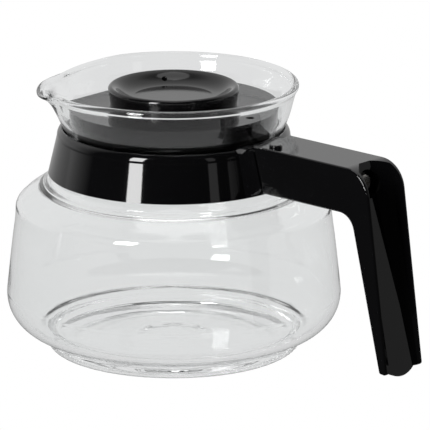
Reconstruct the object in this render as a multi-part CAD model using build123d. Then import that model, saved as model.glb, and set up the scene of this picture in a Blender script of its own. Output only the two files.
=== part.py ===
from build123d import *
import math
import os

# Glass coffee jug for a drip coffee maker: blown glass vessel, clamped collar, channel
# handle and lift-off lid. Millimetres, +Z up. The origin is the centre of the resting
# face, on the vessel's axis. The handle points along +X.

# ---- vessel ----
RIM_Z = 131.5
RIM_R = 60.0
WALL = 2.6
FOOT_R = 61.6            # foot that sits in the hot plate
FOOT_TOP_Z = 6.6
FLOOR_Z = 4.4            # inside face of the floor
FLOOR_RISE = 1.0         # the floor's middle stands above its edge, inside
BELLY_R = 81.0
BELLY_ARC_R = 19.0       # round between the foot and the belly
BELLY_Z = 27.0
BELLY_LEAN = math.radians(6.05)
SHOULDER_Z = 69.5
WAIST_R = 51.6           # narrowest part of the neck, inside the collar
WAIST_Z = 99.0
FLARE_R = 53.9           # outside of the neck where the flare leaves the collar
FLARE_Z = 110.5
SPOUT_ANGLE = -139.0     # degrees from the handle, about the axis
SPOUT_TIP_R = 66.4
SPOUT_TIP_Z = 127.6
SPOUT_ROUND = 16.0       # radius of the trough's end, outside

# ---- collar and liner ----
COLLAR_BOTTOM_Z = 86.7
COLLAR_TOP_Z = 109.2
COLLAR_BOTTOM_R = 60.6
COLLAR_BEND_R = 56.35    # where the rounded top edge starts
COLLAR_BEND_Z = 105.0
COLLAR_ROUND_R = 55.8    # a point half way round that edge
COLLAR_ROUND_Z = 107.5
COLLAR_TOP_R = 54.4
COLLAR_BOTTOM_IN_R = 58.9
COLLAR_TOP_IN_R = 53.9
COLLAR_SPLIT = 2.0       # gap between the collar's two ears
EAR_TOP_Z = 110.6
EAR_BOTTOM_Z = 91.5
EAR_INSIDE_X = 50.0      # safely inside the collar's bore
LINER_LOW_Z = 93.0
LINER_HIGH_Z = 105.0

# ---- handle ----
HANDLE_W = 27.2
HALF_W = HANDLE_W / 2
ARM_TOP_Z = 113.4
ARM_BOTTOM_Z = 91.0
ROOT_X = 66.0            # root face of the arm at mid height
ROOT_LEAN = 0.28         # the root face moves out by this much for each mm down
SEAM = 1.0               # gap between the collar's ears and the arm
GRIP_BOTTOM_Z = 16.6
TONGUE_BOTTOM_Z = 13.8    # the web runs on below the two flanges
TONGUE_R = 15.2
GRIP_OUT_X = 133.6       # grip's outer line at the arm's top height
GRIP_OUT_SLOPE = 0.14
GRIP_IN_X = 119.0        # grip's inner line at the arm's top height
GRIP_IN_SLOPE = 0.247
OUTER_CORNER_R = 14.0
INNER_CORNER_R = 9.0
WEB = 2.35
FLANGE_LIP = 1.5         # channel wall at its outer edge
RIDGE_SHARE = 0.5        # the wall's draft changes at this share of the depth
FLANGE_RIDGE = 2.4       # channel wall at that ridge
FLANGE_ROOT = 4.6        # channel wall at the web, where the channel has no depth
ROOT_DRAFT = 0.43        # the root thickens by this much per mm of depth
ARM_WALL = 2.5
EDGE_ROUND = 1.0
SCREW_TUBE_R = 5.2       # moulded tube round the screw, inside the hollow arm
RIB_HALF = 1.0
PAD_X = 73.6             # small round pad on top of the arm
PAD_Y = -8.6
PAD_R = 3.1
PAD_H = 2.2
PAD_ROUND = 0.9
PAST = 40.0              # cutters run this far past the handle's outside

# ---- clamp fasteners ----
SCREW_Z = 103.2
SCREW_R = 2.5
SCREW_HOLE_R = 2.8
HEAD_R = 4.3
HEAD_H = 3.2
HEAD_ROUND = 1.3
CROSS_ARM = 2.2
CROSS_HALF = 0.5
CROSS_DEPTH = 1.8
HEAD_SEAT_X = 119.2
COUNTERBORE_R = 6.7
WASHER_R = 4.9
WASHER_T = 1.0
NUT_X = 58.2
NUT_T = 4.0
NUT_W = 15.0
NUT_H = 9.0

# ---- lid ----
PLATE_TOP_Z = 120.3
PLATE_R = 50.6
PLATE_EDGE_H = 7.6
PLATE_T = 2.4
POUR_CHORD = 41.0        # straight pouring side of the lid, opposite the handle
SKIRT_R = 47.0
SKIRT_BOTTOM_Z = 100.0
LID_WALL = 2.0
KNOB_R = 31.6
KNOB_BASE_R = 30.4
KNOB_TOP_Z = 129.6
DISH_FLOOR_Z = 124.4
DISH_FLOOR_R = 19.0
DRAIN_R = 1.3
DRAIN_REACH = 24.6
VENT_R = 1.95
VENT_REACH = 43.9
VENT_ANGLE = 8.0
RING_OUT_R = 27.9        # locating ring under the knob
RING_IN_R = 26.1

PARTS_DIR = "parts"


def turned(edges):
    """Solid of revolution of a closed outline drawn as (radius, height)."""
    return revolve(Plane.XZ * make_face(edges), Axis.Z)


def box_at(x0, x1, y0, y1, z0, z1):
    """Box between two corners."""
    centre = Pos((x0 + x1) / 2, (y0 + y1) / 2, (z0 + z1) / 2)
    return centre * Box(x1 - x0, y1 - y0, z1 - z0)


def x_rod(x0, x1, radius, z=SCREW_Z):
    """Round rod along X at the screw's height."""
    return Pos((x0 + x1) / 2, 0, z) * Rot(0, 90, 0) * Cylinder(radius, x1 - x0)


def belly_point(turn, offset=0.0):
    """Point of the belly's round; turn is measured up from the horizontal."""
    radius = BELLY_ARC_R - offset
    centre_r = BELLY_R - BELLY_ARC_R
    return (centre_r + radius * math.cos(turn), BELLY_Z + radius * math.sin(turn))


def neck_curves(shift):
    """Shoulder, neck and flare up to the rim bead as arcs, moved in by shift."""
    lean = BELLY_LEAN
    start_r = belly_point(lean)[0] - (SHOULDER_Z - belly_point(lean)[1]) * math.tan(lean)
    start = (start_r - shift, SHOULDER_Z - 0.1 * shift)
    shoulder = (73.6 - 0.5 * shift, 75.3 - 0.85 * shift)
    throat = (60.2 - 0.75 * shift, 84.9 - 0.65 * shift)
    waist = (WAIST_R - shift, WAIST_Z)
    leave = (FLARE_R - shift, FLARE_Z)
    top = (RIM_R - shift, RIM_Z - WALL / 2)
    return [
        ThreePointArc(start, (75.9 - 0.85 * shift, 73.0 - 0.45 * shift), shoulder),
        ThreePointArc(shoulder, (67.0 - 0.6 * shift, 79.2 - 0.8 * shift), throat),
        ThreePointArc(throat, (54.0 - 0.92 * shift, 91.6 - 0.35 * shift), waist),
        ThreePointArc(waist, (52.2 - shift, 105.0), leave),
        ThreePointArc(leave, (57.3 - shift, 120.3), top),
    ]


def outer_edges():
    """Outside of the vessel, from under the floor to the top of the rim bead."""
    lean = BELLY_LEAN
    step_end = belly_point(math.radians(-86.8))
    side_start = belly_point(lean)
    neck = neck_curves(0)
    return [
        Line((0, 0), (FOOT_R - 4, 0)),
        ThreePointArc((FOOT_R - 4, 0), (FOOT_R - 1.17, 1.17), (FOOT_R, 4)),
        Line((FOOT_R, 4), (FOOT_R, FOOT_TOP_Z)),
        ThreePointArc((FOOT_R, FOOT_TOP_Z), (FOOT_R + 0.42, FOOT_TOP_Z + 1.0), step_end),
        ThreePointArc(step_end, belly_point(math.radians(-40)), side_start),
        Line(side_start, neck[0] @ 0),
        *neck,
        ThreePointArc(neck[-1] @ 1, (RIM_R - 0.38, RIM_Z - 0.38), (RIM_R - WALL / 2, RIM_Z)),
    ]


def inner_edges():
    """Inside of the vessel, from the middle of the floor to the top of the rim bead."""
    lean = BELLY_LEAN
    side_start = belly_point(lean, WALL)
    belly_end = belly_point(math.radians(-78), WALL)
    neck = neck_curves(WALL)
    floor_end = (FOOT_R - 6, FLOOR_Z)
    return [
        Spline((0, FLOOR_Z + FLOOR_RISE), (34, FLOOR_Z + 0.6), floor_end, tangents=[(1, 0), (1, 0)]),
        Spline(floor_end, belly_end, tangents=[(1, 0), (0.97, 0.2)]),
        ThreePointArc(belly_end, belly_point(math.radians(-40), WALL), side_start),
        Line(side_start, neck[0] @ 0),
        *neck,
        ThreePointArc(neck[-1] @ 1, (RIM_R - WALL + 0.38, RIM_Z - 0.38), (RIM_R - WALL / 2, RIM_Z)),
    ]


def vessel_space():
    """The space inside the vessel, up to above the rim."""
    lip_r = RIM_R - WALL / 2
    lid_z = RIM_Z + 6
    return turned([
        *inner_edges(),
        Line((lip_r, RIM_Z), (lip_r, lid_z)),
        Line((lip_r, lid_z), (0, lid_z)),
        Line((0, lid_z), (0, FLOOR_Z + FLOOR_RISE)),
    ])


def spout_form(shrink, rise):
    """Trough that leaves the neck and runs out to the pouring tip."""
    tip_reach = SPOUT_TIP_R - SPOUT_ROUND
    stations = [
        (FLARE_Z + 0.6, 36.8, SPOUT_ROUND),
        (120.0, 43.2, SPOUT_ROUND),
        (SPOUT_TIP_Z, tip_reach, SPOUT_ROUND),
    ]
    sections = [Pos(reach, 0, height) * Circle(radius - shrink) for height, reach, radius in stations]
    trough = loft(sections)
    if rise:
        trough += Pos(tip_reach, 0, SPOUT_TIP_Z + rise / 2) * Cylinder(SPOUT_ROUND - shrink, rise)
        half = SPOUT_ROUND - shrink
        trough += box_at(30, tip_reach, -half, half, SPOUT_TIP_Z, SPOUT_TIP_Z + rise)
    return Rot(0, 0, SPOUT_ANGLE) * trough


def glass_vessel():
    shell = turned([*outer_edges(), *inner_edges(), Line((0, FLOOR_Z + FLOOR_RISE), (0, 0))])
    spout = spout_form(0, 0) - vessel_space()
    return shell + spout - spout_form(WALL, 8)


def root_x(z, gap=0.0):
    """X of the arm's leaning root face at a height."""
    mid = (ARM_TOP_Z + ARM_BOTTOM_Z) / 2
    return ROOT_X + ROOT_LEAN * (mid - z) + 1.2 - gap


def collar():
    ring = turned([
        Line((COLLAR_BOTTOM_IN_R, COLLAR_BOTTOM_Z), (COLLAR_BOTTOM_R, COLLAR_BOTTOM_Z)),
        Line((COLLAR_BOTTOM_R, COLLAR_BOTTOM_Z), (COLLAR_BEND_R, COLLAR_BEND_Z)),
        ThreePointArc((COLLAR_BEND_R, COLLAR_BEND_Z), (COLLAR_ROUND_R, COLLAR_ROUND_Z),
                      (COLLAR_TOP_R, COLLAR_TOP_Z)),
        Line((COLLAR_TOP_R, COLLAR_TOP_Z), (COLLAR_TOP_IN_R, COLLAR_TOP_Z)),
        Line((COLLAR_TOP_IN_R, COLLAR_TOP_Z), (COLLAR_BOTTOM_IN_R, COLLAR_BOTTOM_Z)),
    ])
    ear_outline = Polyline(
        (EAR_INSIDE_X, COLLAR_BOTTOM_Z + 0.6),
        (COLLAR_BOTTOM_R - 1.4, COLLAR_BOTTOM_Z + 0.6),
        (root_x(EAR_BOTTOM_Z, SEAM), EAR_BOTTOM_Z),
        (root_x(EAR_TOP_Z, SEAM), EAR_TOP_Z),
        (EAR_INSIDE_X, EAR_TOP_Z),
        close=True,
    )
    ears = extrude(Plane.XZ * make_face(ear_outline), HALF_W, both=True)
    bore = turned(Polyline(
        (0, COLLAR_BOTTOM_Z - 1),
        (COLLAR_BOTTOM_IN_R + 0.2, COLLAR_BOTTOM_Z - 1),
        (COLLAR_TOP_IN_R, COLLAR_TOP_Z),
        (COLLAR_TOP_IN_R + 0.9, EAR_TOP_Z + 1),
        (0, EAR_TOP_Z + 1),
        close=True,
    ))
    body = ring + (ears - bore)
    body -= box_at(EAR_INSIDE_X, ROOT_X + 14, -COLLAR_SPLIT / 2, COLLAR_SPLIT / 2,
                   COLLAR_BOTTOM_Z - 2, EAR_TOP_Z + 2)
    body -= box_at(NUT_X - 4.5, NUT_X + NUT_T + 0.1, -NUT_W / 2 - 0.1, NUT_W / 2 + 0.1,
                   SCREW_Z - NUT_H / 2 - 0.1, SCREW_Z + NUT_H / 2 + 0.1)
    return body - x_rod(EAR_INSIDE_X, ROOT_X + 6, SCREW_HOLE_R)


def neck_liner():
    """Thin soft band between the glass neck and the collar."""
    def collar_in(z):
        part = (z - COLLAR_BOTTOM_Z) / (COLLAR_TOP_Z - COLLAR_BOTTOM_Z)
        return COLLAR_BOTTOM_IN_R + part * (COLLAR_TOP_IN_R - COLLAR_BOTTOM_IN_R) - 0.1
    outline = [
        Spline((54.1, LINER_LOW_Z), (WAIST_R + 0.25, WAIST_Z), (52.9, LINER_HIGH_Z)),
        Line((52.9, LINER_HIGH_Z), (collar_in(LINER_HIGH_Z), LINER_HIGH_Z)),
        Line((collar_in(LINER_HIGH_Z), LINER_HIGH_Z), (collar_in(LINER_LOW_Z), LINER_LOW_Z)),
        Line((collar_in(LINER_LOW_Z), LINER_LOW_Z), (54.1, LINER_LOW_Z)),
    ]
    return turned(outline)


def grip_out_x(z):
    return GRIP_OUT_X + GRIP_OUT_SLOPE * (ARM_TOP_Z - z)


def grip_in_x(z):
    return GRIP_IN_X + GRIP_IN_SLOPE * (ARM_TOP_Z - z)


def handle_blank():
    """Side view of the handle, extruded to its full width."""
    points = [
        (root_x(ARM_TOP_Z), ARM_TOP_Z),
        (GRIP_OUT_X, ARM_TOP_Z),
        (grip_out_x(GRIP_BOTTOM_Z), GRIP_BOTTOM_Z),
        (grip_in_x(GRIP_BOTTOM_Z), GRIP_BOTTOM_Z + 0.4),
        (grip_in_x(ARM_BOTTOM_Z), ARM_BOTTOM_Z),
        (root_x(ARM_BOTTOM_Z), ARM_BOTTOM_Z),
    ]
    outline = FilletPolyline(*points, radius=[OUTER_CORNER_R, 1.2, 1.2, INNER_CORNER_R])
    root = Line(points[-1], points[0])
    return extrude(Plane.XZ * make_face([*outline.edges(), root]), HALF_W, both=True)


def channel_section(z):
    """Level cut through the grip's open channel: a V with a ridge half way up each side."""
    web_x = grip_in_x(z) + WEB
    lip_x = grip_out_x(z)
    depth = lip_x - web_x
    ridge_x = web_x + (1 - RIDGE_SHARE) * depth
    lip = HALF_W - FLANGE_LIP
    ridge = HALF_W - FLANGE_RIDGE
    root = HALF_W - FLANGE_ROOT - ROOT_DRAFT * depth
    side = [(web_x, root), (ridge_x, ridge), (lip_x, lip), (lip_x + PAST, lip)]
    mirrored = [(x, -y) for x, y in reversed(side)]
    return Pos(0, 0, z) * make_face(Polyline(*side, *mirrored, close=True))


def tongue():
    """Rounded lower end of the web, below the two flanges."""
    top_z = GRIP_BOTTOM_Z + 4
    low_z = TONGUE_BOTTOM_Z - 2
    outline = Polyline((grip_in_x(low_z), low_z), (grip_in_x(low_z) + WEB, low_z),
                       (grip_in_x(top_z) + WEB, top_z), (grip_in_x(top_z), top_z), close=True)
    slab = extrude(Plane.XZ * make_face(outline), HALF_W, both=True)
    return slab & x_rod(GRIP_IN_X, GRIP_OUT_X + PAST, TONGUE_R, TONGUE_BOTTOM_Z + TONGUE_R)


def handle():
    body = handle_blank()
    edges = body.edges().filter_by(lambda e: abs(abs(e.center().Y) - HALF_W) < 0.01)
    edges = edges.filter_by(lambda e: e.center().X > root_x(ARM_TOP_Z) + 6)
    body = fillet(edges, EDGE_ROUND)
    body -= loft([channel_section(GRIP_BOTTOM_Z - 6), channel_section(ARM_TOP_Z + 6)], ruled=True)
    body += tongue()
    pocket = box_at(EAR_INSIDE_X, HEAD_SEAT_X - 7, -HALF_W + ARM_WALL, HALF_W - ARM_WALL,
                    ARM_BOTTOM_Z + ARM_WALL, ARM_TOP_Z - ARM_WALL)
    tube = x_rod(EAR_INSIDE_X, HEAD_SEAT_X - 6, SCREW_TUBE_R)
    rib = box_at(EAR_INSIDE_X, HEAD_SEAT_X - 6, -RIB_HALF, RIB_HALF, ARM_BOTTOM_Z + 1, ARM_TOP_Z - 1)
    body -= pocket - tube - rib
    body -= x_rod(EAR_INSIDE_X, HEAD_SEAT_X + 2, SCREW_HOLE_R)
    body -= x_rod(HEAD_SEAT_X - WASHER_T, HEAD_SEAT_X + PAST, COUNTERBORE_R)
    pad = Pos(PAD_X, PAD_Y, ARM_TOP_Z + 0.6) * Cylinder(PAD_R, PAD_H)
    return body + fillet(pad.edges().sort_by(Axis.Z)[-1], PAD_ROUND)


def clamp_screw():
    head = x_rod(HEAD_SEAT_X, HEAD_SEAT_X + HEAD_H, HEAD_R)
    head = fillet(head.faces().sort_by(Axis.X)[-1].edges(), HEAD_ROUND)
    shank = x_rod(NUT_X - 1.5, HEAD_SEAT_X + 0.5, SCREW_R)
    slot_x = HEAD_SEAT_X + HEAD_H
    floor_x = slot_x - CROSS_DEPTH
    cross = box_at(floor_x, slot_x + 1, -CROSS_ARM, CROSS_ARM, SCREW_Z - CROSS_HALF, SCREW_Z + CROSS_HALF)
    cross += box_at(floor_x, slot_x + 1, -CROSS_HALF, CROSS_HALF, SCREW_Z - CROSS_ARM, SCREW_Z + CROSS_ARM)
    return head + shank - cross


def screw_washer():
    return x_rod(HEAD_SEAT_X - WASHER_T, HEAD_SEAT_X, WASHER_R) - x_rod(110, 130, SCREW_R + 0.25)


def clamp_nut():
    """Bar nut that bridges the collar's two ears and draws them to the arm."""
    bar = box_at(NUT_X, NUT_X + NUT_T, -NUT_W / 2, NUT_W / 2, SCREW_Z - NUT_H / 2, SCREW_Z + NUT_H / 2)
    bar = chamfer(bar.edges().filter_by(Axis.X), 0.8)
    return bar - x_rod(50, 70, SCREW_R + 0.02)


def chord_side(offset):
    """Everything on the pouring side of a plane across the lid."""
    return box_at(-90, -offset, -90, 90, 80, 140)


def lid_plate():
    disc_outline = Polyline(
        (0, PLATE_TOP_Z - PLATE_T),
        (PLATE_R - LID_WALL, PLATE_TOP_Z - PLATE_T),
        (PLATE_R - LID_WALL, PLATE_TOP_Z - PLATE_EDGE_H + LID_WALL),
        (SKIRT_R - LID_WALL, PLATE_TOP_Z - PLATE_EDGE_H + LID_WALL),
        (SKIRT_R - LID_WALL, SKIRT_BOTTOM_Z),
        (SKIRT_R, SKIRT_BOTTOM_Z),
        (SKIRT_R, PLATE_TOP_Z - PLATE_EDGE_H),
        (PLATE_R, PLATE_TOP_Z - PLATE_EDGE_H),
        (PLATE_R, PLATE_TOP_Z),
        (0, PLATE_TOP_Z),
        close=True,
    )
    body = turned(disc_outline) - chord_side(POUR_CHORD)
    chord_wall = turned(Polyline((0, SKIRT_BOTTOM_Z), (SKIRT_R - 0.5, SKIRT_BOTTOM_Z),
                                 (SKIRT_R - 0.5, PLATE_TOP_Z - 1), (0, PLATE_TOP_Z - 1), close=True))
    chord_wall &= box_at(-POUR_CHORD, -POUR_CHORD + LID_WALL, -60, 60, 80, 140)
    body += chord_wall
    ring = Pos(0, 0, PLATE_TOP_Z + 0.6) * (Cylinder(RING_OUT_R, 1.4) - Cylinder(RING_IN_R, 1.4))
    body += ring
    vent = Rot(0, 0, VENT_ANGLE) * Pos(VENT_REACH, 0, PLATE_TOP_Z) * Cylinder(VENT_R, 12)
    return body - vent


def lid_knob():
    """Hollow drum with a dished top."""
    outline = [
        Line((KNOB_BASE_R - LID_WALL, PLATE_TOP_Z), (KNOB_BASE_R, PLATE_TOP_Z)),
        Line((KNOB_BASE_R, PLATE_TOP_Z), (KNOB_R, KNOB_TOP_Z - 1.6)),
        ThreePointArc((KNOB_R, KNOB_TOP_Z - 1.6), (KNOB_R - 0.55, KNOB_TOP_Z - 0.45),
                      (KNOB_R - 1.7, KNOB_TOP_Z)),
        Spline((KNOB_R - 1.7, KNOB_TOP_Z), (25.5, 127.0), (DISH_FLOOR_R, DISH_FLOOR_Z),
               tangents=[(-1, -0.2), (-1, -0.1)]),
        Line((DISH_FLOOR_R, DISH_FLOOR_Z), (0, DISH_FLOOR_Z)),
        Line((0, DISH_FLOOR_Z), (0, DISH_FLOOR_Z - LID_WALL)),
        Line((0, DISH_FLOOR_Z - LID_WALL), (DISH_FLOOR_R + 1, DISH_FLOOR_Z - LID_WALL)),
        Line((DISH_FLOOR_R + 1, DISH_FLOOR_Z - LID_WALL), (KNOB_BASE_R - LID_WALL, 125.2)),
        Line((KNOB_BASE_R - LID_WALL, 125.2), (KNOB_BASE_R - LID_WALL, PLATE_TOP_Z)),
    ]
    drain = Rot(0, 0, 143) * Pos(DRAIN_REACH, 0, DISH_FLOOR_Z) * Cylinder(DRAIN_R, 10)
    return turned(outline) - drain


NODES = {
    "glass_vessel": glass_vessel,
    "collar": collar,
    "neck_liner": neck_liner,
    "handle": handle,
    "clamp_screw": clamp_screw,
    "screw_washer": screw_washer,
    "clamp_nut": clamp_nut,
    "lid_plate": lid_plate,
    "lid_knob": lid_knob,
}

os.makedirs(PARTS_DIR, exist_ok=True)
for node_name, build_node in NODES.items():
    node_shape = build_node()
    export_step(node_shape, os.path.join(PARTS_DIR, node_name + ".step"))
    print(node_name, round(node_shape.volume / 1000, 2), "cm3")
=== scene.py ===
import math

import bpy
import numpy as np
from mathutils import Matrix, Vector


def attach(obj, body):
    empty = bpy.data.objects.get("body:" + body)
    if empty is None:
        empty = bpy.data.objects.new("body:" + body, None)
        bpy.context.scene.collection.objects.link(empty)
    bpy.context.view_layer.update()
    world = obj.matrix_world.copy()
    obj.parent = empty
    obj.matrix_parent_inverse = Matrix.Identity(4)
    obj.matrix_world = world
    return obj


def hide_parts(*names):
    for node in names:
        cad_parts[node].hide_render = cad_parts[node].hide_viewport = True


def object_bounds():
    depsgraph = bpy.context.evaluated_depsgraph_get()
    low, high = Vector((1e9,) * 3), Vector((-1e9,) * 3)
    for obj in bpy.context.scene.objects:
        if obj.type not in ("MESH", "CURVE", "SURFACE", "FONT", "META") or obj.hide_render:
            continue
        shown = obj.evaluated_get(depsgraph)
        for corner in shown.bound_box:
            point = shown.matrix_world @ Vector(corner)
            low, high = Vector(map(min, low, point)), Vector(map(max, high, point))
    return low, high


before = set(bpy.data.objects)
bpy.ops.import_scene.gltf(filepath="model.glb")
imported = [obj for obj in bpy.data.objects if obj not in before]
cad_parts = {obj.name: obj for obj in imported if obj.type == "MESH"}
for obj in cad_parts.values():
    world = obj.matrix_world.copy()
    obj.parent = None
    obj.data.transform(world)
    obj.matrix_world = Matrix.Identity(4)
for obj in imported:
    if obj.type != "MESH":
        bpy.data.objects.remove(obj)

CAD_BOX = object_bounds()
MM = 0.001

# ---- camera ----
AZIMUTH = math.radians(42.7)
ELEVATION = math.radians(15.8)
DISTANCE = 2.8
PIXELS = 430
PIXELS_PER_MM = 2.065    # at the vessel's axis
SENSOR = 36.0
AXIS_HEIGHT = 64 * MM
AIM_RIGHT = 19.95 * MM   # the picture's middle lies to the right of the vessel's axis
AIM_UP = 0.5 * MM

# ---- vessel, in millimetres ----
TURNS = 360              # points round the vessel
WALL = 2.6
RIM_Z = 131.5
BEAD_R = 1.75            # round bead along the rim
BEAD_PAST = 0.7          # the bead runs on past a half circle by this angle at each side
BEAD_CLEAR = 1.35        # the walls end this many bead radii below the bead's middle
INSIDE_FROM_Z = 12.5     # above here the inside follows the outside
FOLD = 2.0               # thicker ring inside the shoulder
FOLD_R = 63.4
FOLD_WIDTH = 1.3
FOLD_LOW_Z = 70.0
FOLD_INWARD = (0.64, 0.77)
SPOUT_AZIMUTH = math.radians(-139.0)
SPOUT_ROOT_Z = 112.0
LIP_TURN = 20.5          # half the lip's width, in degrees about the axis
SADDLE_TURN = 64.0       # half the width of the lowered rim, in degrees

# ---- studio light ----
WHITE = (1, 1, 1, 1)
PALE = (0.785, 0.785, 0.79, 1)
ROOM_GLOW = (0.012, 0.75, 0.45, 0.7)     # dark side, bright side, and where the ramp runs
FLOOR_GLOW = (0.03, 0.6, 0.45, 0.75)
FLOOR_HALF = 3.0
FLOOR_GAP = 0.3 * MM     # keeps the floor clear of the vessel's resting face
BOUNCES = 24             # enough for light caught inside the thick foot and rim


def camera_axes():
    """Unit vectors from the object to the camera, to the picture's right and to its top."""
    sin_a, cos_a = math.sin(AZIMUTH), math.cos(AZIMUTH)
    sin_e, cos_e = math.sin(ELEVATION), math.cos(ELEVATION)
    back = Vector((sin_a * cos_e, -cos_a * cos_e, sin_e))
    right = Vector((cos_a, sin_a, 0))
    return back, right, back.cross(right)


def make_camera():
    back, right, up = camera_axes()
    data = bpy.data.cameras.new("camera")
    data.sensor_width = SENSOR
    data.lens = PIXELS_PER_MM / MM * DISTANCE * SENSOR / PIXELS
    data.clip_start = 0.05
    camera = bpy.data.objects.new("camera", data)
    middle = Vector((0, 0, AXIS_HEIGHT))
    camera.location = middle + back * DISTANCE
    aim = middle + right * AIM_RIGHT + up * AIM_UP
    camera.rotation_euler = (camera.location - aim).to_track_quat("Z", "Y").to_euler()
    bpy.context.scene.collection.objects.link(camera)
    bpy.context.scene.camera = camera


# ---- node helpers ----

def new_material(name):
    material = bpy.data.materials.new(name)
    material.use_nodes = True
    nodes = material.node_tree.nodes
    return material, nodes, material.node_tree.links, nodes["Principled BSDF"]


def noise(nodes, scale, detail=2.0, roughness=0.5):
    node = nodes.new("ShaderNodeTexNoise")
    node.inputs["Scale"].default_value = scale
    node.inputs["Detail"].default_value = detail
    node.inputs["Roughness"].default_value = roughness
    return node


def ramp(nodes, low, high, start=0.3, end=0.7):
    """Colour ramp between two grey or RGB values."""
    node = nodes.new("ShaderNodeValToRGB")
    for element, value, place in zip(node.color_ramp.elements, (low, high), (start, end)):
        element.position = place
        element.color = (*value, 1) if isinstance(value, tuple) else (value, value, value, 1)
    return node


def bump(nodes, links, height, target, strength, distance):
    node = nodes.new("ShaderNodeBump")
    node.inputs["Strength"].default_value = strength
    node.inputs["Distance"].default_value = distance
    links.new(height, node.inputs["Height"])
    links.new(node.outputs["Normal"], target.inputs["Normal"])


def object_coords(nodes):
    return nodes.new("ShaderNodeTexCoord").outputs["Object"]


# ---- materials ----

def glass_material():
    material, nodes, links, shader = new_material("vessel_glass")
    shader.inputs["Transmission Weight"].default_value = 1.0
    shader.inputs["IOR"].default_value = 1.47
    shader.inputs["Roughness"].default_value = 0.0
    coords = object_coords(nodes)
    tint_noise = noise(nodes, 18.0, 1.0)
    links.new(coords, tint_noise.inputs["Vector"])
    tint = ramp(nodes, (0.955, 0.965, 0.962), (0.975, 0.982, 0.98))
    links.new(tint_noise.outputs["Fac"], tint.inputs["Fac"])
    links.new(tint.outputs["Color"], shader.inputs["Base Color"])
    ripple = noise(nodes, 34.0, 2.0, 0.45)
    links.new(coords, ripple.inputs["Vector"])
    bump(nodes, links, ripple.outputs["Fac"], shader, 0.35, 0.0006)
    return material


def moulded_plastic(name, colour, roughness, grain):
    """Glossy moulded plastic: faint flow marks in colour, gloss and surface."""
    material, nodes, links, shader = new_material(name)
    coords = object_coords(nodes)
    flow = noise(nodes, 22.0, 3.0, 0.55)
    links.new(coords, flow.inputs["Vector"])
    dark = tuple(c * 0.8 for c in colour)
    tone = ramp(nodes, dark, colour)
    links.new(flow.outputs["Fac"], tone.inputs["Fac"])
    links.new(tone.outputs["Color"], shader.inputs["Base Color"])
    gloss = ramp(nodes, roughness * 0.85, roughness * 1.25)
    links.new(flow.outputs["Fac"], gloss.inputs["Fac"])
    links.new(gloss.outputs["Color"], shader.inputs["Roughness"])
    shader.inputs["IOR"].default_value = 1.5
    skin = noise(nodes, 900.0, 2.0, 0.6)
    links.new(coords, skin.inputs["Vector"])
    bump(nodes, links, skin.outputs["Fac"], shader, grain, 0.0001)
    return material


def plated_metal(name, colour, roughness):
    material, nodes, links, shader = new_material(name)
    shader.inputs["Metallic"].default_value = 1.0
    coords = object_coords(nodes)
    marks = noise(nodes, 400.0, 3.0, 0.6)
    links.new(coords, marks.inputs["Vector"])
    tone = ramp(nodes, tuple(c * 0.85 for c in colour), colour)
    links.new(marks.outputs["Fac"], tone.inputs["Fac"])
    links.new(tone.outputs["Color"], shader.inputs["Base Color"])
    gloss = ramp(nodes, roughness * 0.7, roughness * 1.4)
    links.new(marks.outputs["Fac"], gloss.inputs["Fac"])
    links.new(gloss.outputs["Color"], shader.inputs["Roughness"])
    return material


def soft_rubber():
    material, nodes, links, shader = new_material("liner_rubber")
    coords = object_coords(nodes)
    mottle = noise(nodes, 300.0, 3.0, 0.6)
    links.new(coords, mottle.inputs["Vector"])
    tone = ramp(nodes, (0.02, 0.02, 0.02), (0.035, 0.035, 0.035))
    links.new(mottle.outputs["Fac"], tone.inputs["Fac"])
    links.new(tone.outputs["Color"], shader.inputs["Base Color"])
    shader.inputs["Roughness"].default_value = 0.6
    bump(nodes, links, mottle.outputs["Fac"], shader, 0.2, 0.0002)
    return material


# ---- vessel ----

def smooth_curve(points, count):
    """Catmull-Rom curve through points, resampled to even steps."""
    pts = np.array(points, float)
    ends = np.vstack([2 * pts[0] - pts[1], pts, 2 * pts[-1] - pts[-2]])
    samples = []
    for i in range(1, len(ends) - 2):
        p0, p1, p2, p3 = ends[i - 1], ends[i], ends[i + 1], ends[i + 2]
        for t in np.linspace(0, 1, 24, endpoint=False):
            a = 2 * p1 + (p2 - p0) * t + (2 * p0 - 5 * p1 + 4 * p2 - p3) * t ** 2
            samples.append((a + (3 * p1 - p0 - 3 * p2 + p3) * t ** 3) / 2)
    samples.append(pts[-1])
    samples = np.array(samples)
    run = np.concatenate([[0], np.cumsum(np.linalg.norm(np.diff(samples, axis=0), axis=1))])
    even = np.linspace(0, run[-1], count)
    return np.column_stack([np.interp(even, run, samples[:, k]) for k in (0, 1)])


def arc(centre, radius, start, end, count):
    """Points of an arc; angles in degrees from the outward horizontal."""
    angles = np.radians(np.linspace(start, end, count))
    return [(centre[0] + radius * math.cos(a), centre[1] + radius * math.sin(a)) for a in angles]


def outer_profile():
    """Outside of the vessel as (radius, height) from under the floor to the rim."""
    under = [(0, 1.4), (12, 1.5), (20, 1.1), (34, 0.9), (44, 0.4), (50, 0.05), (54, 0)]
    foot = arc((57.6, 4.0), 4.0, -90, 0, 8)
    step = [(61.6, 5.5), (61.75, 6.6), (62.3, 7.5)]
    belly = arc((62.0, 27.0), 19.0, -84, 6, 26)
    side = [(79.6, 41.1), (78.2, 53.3), (76.8, 64.0)]
    shoulder = arc((71.2, 69.4), 5.3, 4, 56, 6)
    sweep = [(71.6, 76.2), (68.3, 78.5), (64.8, 81.1), (61.3, 84.0), (58.3, 87.1), (55.2, 90.8),
             (52.8, 94.9), (51.7, 99.0), (51.8, 103.0), (52.5, 107.0)]
    flare = [(53.9, 110.5), (55.6, 114.6), (56.9, 118.8), (57.9, 122.8), (58.9, 126.4), (59.9, 129.8)]
    return under + foot + step + belly + side + shoulder + sweep + flare


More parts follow.
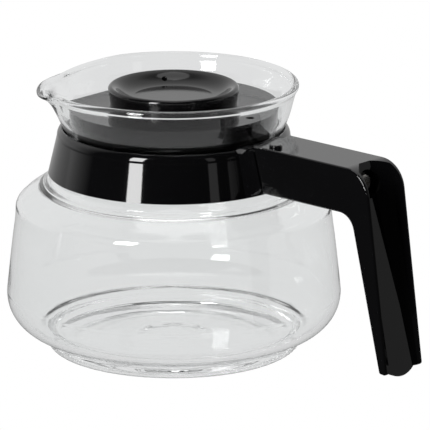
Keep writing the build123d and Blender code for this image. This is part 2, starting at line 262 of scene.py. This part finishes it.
def offset_profile(points, distance):
    """The same line moved in by the wall thickness, along its normals."""
    pts = np.array(points)
    run = np.gradient(pts, axis=0)
    normal = np.column_stack([-run[:, 1], run[:, 0]])
    normal /= np.linalg.norm(normal, axis=1)[:, None]
    return pts + normal * distance


def wall_profile():
    """Closed wall outline from the middle of the underside, over the rim, to the floor."""
    outer = smooth_curve(outer_profile(), 260)
    fold = np.exp(-((outer[:, 0] - FOLD_R) / FOLD_WIDTH) ** 2) * (outer[:, 1] > FOLD_LOW_Z)
    inner = offset_profile(outer, WALL) - np.outer(fold, FOLD_INWARD) * FOLD
    inner[:, 0] = np.maximum(inner[:, 0], 0)
    keep = inner[:, 1] > INSIDE_FROM_Z
    floor = smooth_curve([(0, 5.4), (30, 5.2), (43, 5.1), (51, 6.0), (58, 8.0), (64.5, 10.9)], 40)
    inside = np.vstack([floor, inner[keep]])
    top_out, top_in = outer[-1], inside[-1]
    middle = (top_out + top_in) / 2
    radius = np.linalg.norm(top_out - top_in) / 2
    start = math.atan2(*(top_out - middle)[::-1])
    middle = middle - (0, BEAD_R - radius)
    bead = [(middle[0] + BEAD_R * math.cos(start + a), middle[1] + BEAD_R * math.sin(start + a))
            for a in np.linspace(-BEAD_PAST, math.pi + BEAD_PAST, 19)]
    clear = BEAD_R * BEAD_CLEAR
    outer = outer[outer[:, 1] < middle[1] - clear]
    inside = inside[inside[:, 1] < middle[1] - clear]
    return np.vstack([outer, bead, inside[::-1]])


def spout_shift(angle, height):
    """How far the spout pulls the wall out and down, in millimetres."""
    turn = np.degrees((angle - SPOUT_AZIMUTH + math.pi) % (2 * math.pi) - math.pi)
    rise = np.clip((height - SPOUT_ROOT_Z) / (RIM_Z - SPOUT_ROOT_Z), 0, 1)
    lip = np.exp(-(np.abs(turn) / LIP_TURN) ** 6)
    saddle = np.clip(1 - (turn / SADDLE_TURN) ** 2, 0, 1) ** 1.3
    out = lip * (3.0 * rise ** 1.5 + 3.6 * rise ** 4)
    down = 2.4 * saddle * rise ** 2 + lip * (0.6 * rise ** 2 + 1.4 * rise ** 5)
    return out, down


def vessel_mesh():
    """The wall outline turned about the axis, with the spout pulled out of it."""
    profile = wall_profile()
    angles = np.linspace(0, 2 * math.pi, TURNS, endpoint=False)
    grid_r = np.repeat(profile[1:-1, 0][:, None], TURNS, axis=1)
    grid_z = np.repeat(profile[1:-1, 1][:, None], TURNS, axis=1)
    out, down = spout_shift(angles[None, :], grid_z)
    grid_r = grid_r + out
    grid_z = grid_z - down
    x = grid_r * np.cos(angles)
    y = grid_r * np.sin(angles)
    rings = grid_r.shape[0]
    points = np.stack([x, y, grid_z], axis=-1).reshape(-1, 3)
    points = np.vstack([points, [0, 0, profile[0, 1]], [0, 0, profile[-1, 1]]]) * MM
    low, high = rings * TURNS, rings * TURNS + 1
    faces = []
    for i in range(rings - 1):
        for j in range(TURNS):
            k = (j + 1) % TURNS
            faces.append((i * TURNS + j, i * TURNS + k, (i + 1) * TURNS + k, (i + 1) * TURNS + j))
    last = (rings - 1) * TURNS
    for j in range(TURNS):
        k = (j + 1) % TURNS
        faces.append((low, k, j))
        faces.append((high, last + j, last + k))
    mesh = bpy.data.meshes.new("vessel_blown")
    mesh.from_pydata([tuple(p) for p in points], [], faces)
    mesh.polygons.foreach_set("use_smooth", [True] * len(mesh.polygons))
    mesh.update()
    return mesh


def make_vessel(material):
    vessel = bpy.data.objects.new("vessel_blown", vessel_mesh())
    bpy.context.scene.collection.objects.link(vessel)
    vessel.data.materials.append(material)
    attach(vessel, "jug")
    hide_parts("glass_vessel")


# ---- CAD nodes ----

def dress_node(name, material):
    """Give a CAD node one material all over."""
    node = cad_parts[name]
    node.data.materials.clear()
    node.data.materials.append(material)
    for polygon in node.data.polygons:
        polygon.material_index = 0


# ---- studio ----

def softbox(name, place, aim, width, height, power):
    """Rectangular light that the camera doesn't see directly."""
    data = bpy.data.lights.new(name, "AREA")
    data.shape = "RECTANGLE"
    data.size = width
    data.size_y = height
    data.energy = power
    light = bpy.data.objects.new(name, data)
    light.location = place
    light.rotation_euler = (Vector(place) - Vector(aim)).to_track_quat("Z", "Y").to_euler()
    light.visible_camera = False
    bpy.context.scene.collection.objects.link(light)


def turn_from_camera(degrees, distance, height):
    """A place on a circle round the object; 0 is the camera's side, positive to its right."""
    angle = AZIMUTH - math.pi / 2 + math.radians(degrees)
    return (distance * math.cos(angle), distance * math.sin(angle), height)


def seen_light(nodes, links, tone):
    """White for the camera, pale for light that passed the glass, else the given tone."""
    path = nodes.new("ShaderNodeLightPath")
    passed = nodes.new("ShaderNodeMath")
    passed.operation = "GREATER_THAN"
    passed.inputs[1].default_value = 0.5
    links.new(path.outputs["Transmission Depth"], passed.inputs[0])
    result = tone
    for factor, colour in ((passed.outputs["Value"], PALE), (path.outputs["Is Camera Ray"], WHITE)):
        mix = nodes.new("ShaderNodeMix")
        mix.data_type = "RGBA"
        links.new(factor, mix.inputs["Factor"])
        links.new(result, mix.inputs["A"])
        mix.inputs["B"].default_value = colour
        result = mix.outputs["Result"]
    return result


def back_glow(nodes, links, direction, low, high, start, end):
    """Ramp of light from the camera's side to the far side of the studio."""
    back = camera_axes()[0]
    away = Vector((-back.x, -back.y, 0)).normalized()
    turn = nodes.new("ShaderNodeVectorMath")
    turn.operation = "DOT_PRODUCT"
    links.new(direction, turn.inputs[0])
    turn.inputs[1].default_value = away
    shift = nodes.new("ShaderNodeMath")
    shift.operation = "MULTIPLY_ADD"
    shift.inputs[1].default_value = 0.5
    shift.inputs[2].default_value = 0.5
    links.new(turn.outputs["Value"], shift.inputs[0])
    glow = ramp(nodes, low, high, start, end)
    links.new(shift.outputs["Value"], glow.inputs["Fac"])
    return glow.outputs["Color"]


def make_studio():
    world = bpy.data.worlds.new("studio")
    bpy.context.scene.world = world
    world.use_nodes = True
    nodes, links = world.node_tree.nodes, world.node_tree.links
    background = nodes["Background"]
    direction = nodes.new("ShaderNodeTexCoord").outputs["Generated"]
    glow = back_glow(nodes, links, direction, *ROOM_GLOW)
    links.new(seen_light(nodes, links, glow), background.inputs["Color"])
    softbox("strip_left", turn_from_camera(-36, 1.2, 0.55), (0, 0, 0.1), 0.3, 0.8, 13)
    softbox("strip_right", turn_from_camera(37, 1.3, 0.55), (0, 0, 0.1), 0.2, 0.8, 0.25)
    softbox("overhead", (0, 0, 1.5), (0, 0, 0), 0.7, 0.7, 2)


def make_floor():
    """Level plane that gives off light, so the jug stands in an even white studio."""
    low_z = CAD_BOX[0][2] - FLOOR_GAP
    corners = [(-1, -1), (1, -1), (1, 1), (-1, 1)]
    mesh = bpy.data.meshes.new("floor")
    mesh.from_pydata([(x * FLOOR_HALF, y * FLOOR_HALF, low_z) for x, y in corners], [], [(0, 1, 2, 3)])
    floor = bpy.data.objects.new("floor", mesh)
    bpy.context.scene.collection.objects.link(floor)
    material, nodes, links, shader = new_material("pale_floor")
    nodes.remove(shader)
    emission = nodes.new("ShaderNodeEmission")
    glow = back_glow(nodes, links, object_coords(nodes), *FLOOR_GLOW)
    links.new(seen_light(nodes, links, glow), emission.inputs["Color"])
    links.new(emission.outputs["Emission"], nodes["Material Output"].inputs["Surface"])
    mesh.materials.append(material)


# ---- the jug in its studio ----

gloss_black = moulded_plastic("black_gloss", (0.004, 0.004, 0.0045), 0.05, 0.02)
lid_black = moulded_plastic("lid_black", (0.005, 0.0048, 0.0051), 0.1, 0.05)
chrome = plated_metal("screw_chrome", (0.9, 0.88, 0.84), 0.42)
brass = plated_metal("nut_brass", (0.72, 0.55, 0.28), 0.3)
make_vessel(glass_material())
for node_name in ("collar", "handle"):
    dress_node(node_name, gloss_black)
for node_name in ("lid_plate", "lid_knob"):
    dress_node(node_name, lid_black)
for node_name in ("clamp_screw", "screw_washer"):
    dress_node(node_name, chrome)
dress_node("clamp_nut", brass)
dress_node("neck_liner", soft_rubber())
make_floor()
make_studio()
make_camera()
bpy.context.scene.view_settings.view_transform = "Standard"
bpy.context.scene.cycles.transmission_bounces = BOUNCES
bpy.context.scene.cycles.glossy_bounces = BOUNCES
bpy.context.scene.cycles.max_bounces = BOUNCES + 8
